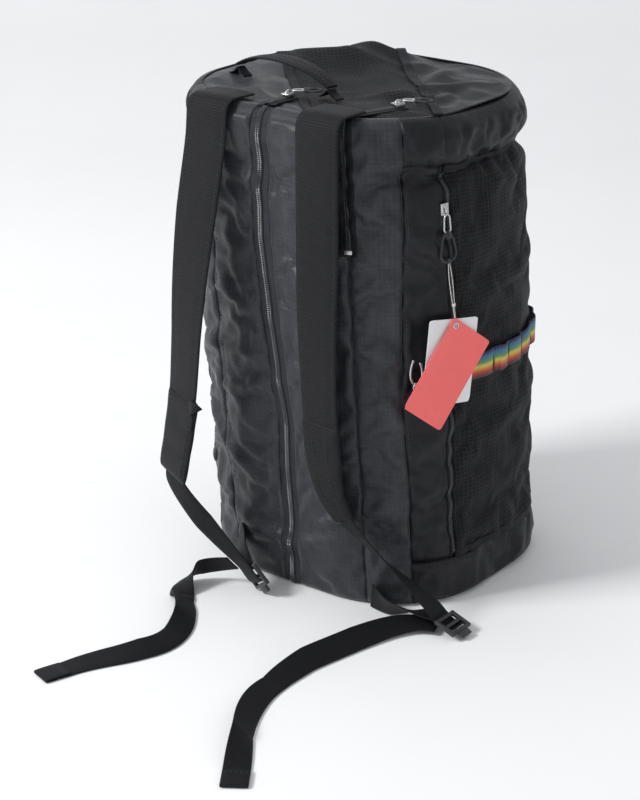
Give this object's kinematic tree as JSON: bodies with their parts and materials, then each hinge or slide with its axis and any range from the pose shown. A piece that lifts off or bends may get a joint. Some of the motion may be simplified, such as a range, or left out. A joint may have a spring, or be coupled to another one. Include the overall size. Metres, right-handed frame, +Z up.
{
  "type": "duffel backpack",
  "caption": "Upright zipped duffel pack for rope, with shoulder straps, a mesh side pocket, a daisy chain, loose webbing tails and hang tags.",
  "frame": {"origin": "middle of the base on the ground, with the pack standing on its base", "axes": "+Z up; -Y is the back panel with the shoulder straps; +X is the side with the mesh pocket"},
  "size_m": [0.3793, 0.6338, 0.5273],
  "materials": {
    "back_fabric": "ripstop nylon with a faint sheen",
    "side_fabric": "ripstop nylon, crinkled",
    "mesh": "spacer mesh",
    "webbing": "ribbed polyester webbing",
    "rainbow_webbing": "striped webbing",
    "zip_tape": "woven tape",
    "zip_coil": "satin nylon coil",
    "cord": "braided cord",
    "zinc": "satin die cast",
    "lock_plastic": "moulded acetal",
    "foam_board": "closed-cell board",
    "white_string": "cotton string",
    "white_card": "coated card",
    "coral_card": "printed card"
  },
  "bodies": {
    "pack": {"base_panel": "side_fabric", "base_stiffener": "foam_board", "back_panel_left": "back_fabric", "back_panel_right": "back_fabric", "back_gusset_left": "back_fabric", "back_gusset_right": "back_fabric", "lower_band": "side_fabric", "side_panel_right": "side_fabric", "front_panel": "side_fabric", "side_panel_left": "side_fabric", "rim_band": "side_fabric", "main_zip_tape_left": "zip_tape", "main_zip_tape_right": "zip_tape", "main_zip_coil": "zip_coil", "quick_zip_tape": "zip_tape", "quick_zip_coil": "zip_coil", "pocket_mesh": "mesh", "pocket_zip_tape": "zip_tape", "pocket_zip_coil": "zip_coil", "top_mesh_panel": "mesh", "top_panel_right": "back_fabric", "top_panel_left": "back_fabric", "main_zip_end": "zip_tape", "quick_zip_end": "zip_tape", "daisy_chain": "rainbow_webbing", "hook_loop": "webbing", "left_strap_root": "webbing", "left_anchor_webbing": "webbing", "right_strap_root": "webbing", "right_anchor_webbing": "webbing", "left_tail": "webbing", "left_tail_hem": "webbing", "right_tail": "webbing", "right_tail_hem": "webbing", "haul_handle_tab_left": "webbing", "haul_handle_tab_right": "webbing"},
    "main_slider": {"main_slider": "zinc"},
    "main_puller": {"main_puller_ring": "zinc", "main_puller_loop": "cord"},
    "quick_slider": {"quick_slider": "zinc"},
    "quick_puller": {"quick_puller_ring": "zinc", "quick_puller_loop": "cord"},
    "pocket_slider": {"pocket_slider": "zinc"},
    "pocket_puller": {"pocket_puller_ring": "zinc", "pocket_puller_loop": "cord"},
    "hang_tag": {"tag_string": "white_string", "tag_card_white": "white_card", "tag_card_red": "coral_card", "tag_eyelet": "zinc"},
    "snap_hook": {"snap_hook": "zinc"},
    "hook_gate": {"hook_gate": "zinc"},
    "left_strap": {"left_strap": "webbing", "left_strap_sleeve": "webbing", "left_adjuster_webbing": "webbing"},
    "right_strap": {"right_strap": "webbing", "right_strap_sleeve": "webbing", "right_adjuster_webbing": "webbing"},
    "left_lock": {"left_ladder_lock": "lock_plastic"},
    "right_lock": {"right_ladder_lock": "lock_plastic"},
    "haul_handle": {"haul_handle": "webbing"}
  },
  "joints": [
    {"name": "main_zip_run", "type": "slide", "parent": "pack", "child": "main_slider", "axis": [0, -1, 0], "range_m": [0, 0.03]},
    {"name": "quick_zip_run", "type": "slide", "parent": "pack", "child": "quick_slider", "axis": [-0.3497, -0.9369, 0], "range_m": [0, 0.03]},
    {"name": "pocket_zip_run", "type": "slide", "parent": "pack", "child": "pocket_slider", "axis": [0.0439, 0.032, -0.9985], "range_m": [0, 0.06]},
    {"name": "main_puller_flip", "type": "hinge", "parent": "main_slider", "child": "main_puller", "pos_m": [-0.02829, -0.11112, 0.5079], "axis": [-0.5708, 0.8211, 0], "range_deg": [-110, 0]},
    {"name": "quick_puller_flip", "type": "hinge", "parent": "quick_slider", "child": "quick_puller", "pos_m": [0.0789, -0.07942, 0.5079], "axis": [-0.4789, 0.8779, 0], "range_deg": [-110, 0]},
    {"name": "pocket_puller_flip", "type": "hinge", "parent": "pocket_slider", "child": "pocket_puller", "pos_m": [0.13535, -0.08397, 0.40788], "axis": [0.3298, 0.943, 0.0447], "range_deg": [-100, 0]},
    {"name": "hang_tag_swing", "type": "hinge", "parent": "pocket_puller", "child": "hang_tag", "pos_m": [0.13759, -0.08235, 0.35696], "axis": [0.943, -0.3313, 0.0309], "range_deg": [-25, 25]},
    {"name": "hook_swing", "type": "hinge", "parent": "pack", "child": "snap_hook", "pos_m": [0.12472, -0.11354, 0.24152], "axis": [-0.0439, -0.032, 0.9985], "range_deg": [-15, 15]},
    {"name": "hook_gate_swing", "type": "hinge", "parent": "snap_hook", "child": "hook_gate", "pos_m": [0.12779, -0.10947, 0.2493], "axis": [-0.7838, 0.6208, -0.0146], "range_deg": [-15, 0], "stiffness_Nm_per_rad": 0.005, "springref_deg": 11.46},
    {"name": "left_strap_swing", "type": "hinge", "parent": "pack", "child": "left_strap", "pos_m": [-0.086, -0.166, 0.478], "axis": [-0.138, 0.0324, 0.9899], "range_deg": [-30, 18]},
    {"name": "right_strap_swing", "type": "hinge", "parent": "pack", "child": "right_strap", "pos_m": [0.046, -0.166, 0.478], "axis": [-0.2865, -0.0655, 0.9558], "range_deg": [0, 35]},
    {"name": "left_lock_tilt", "type": "hinge", "parent": "pack", "child": "left_lock", "pos_m": [-0.02847, -0.18225, 0.02652], "axis": [0.7319, -0.3772, 0.5674], "range_deg": [0, 15]},
    {"name": "right_lock_tilt", "type": "hinge", "parent": "pack", "child": "right_lock", "pos_m": [0.1766, -0.134, 0.0144], "axis": [0, -1, 0], "range_deg": [0, 15]},
    {"name": "haul_handle_flip", "type": "hinge", "parent": "pack", "child": "haul_handle", "pos_m": [-0.068, -0.07, 0.5088], "axis": [0.9848, -0.1736, 0], "range_deg": [-75, 75]}
  ]
}
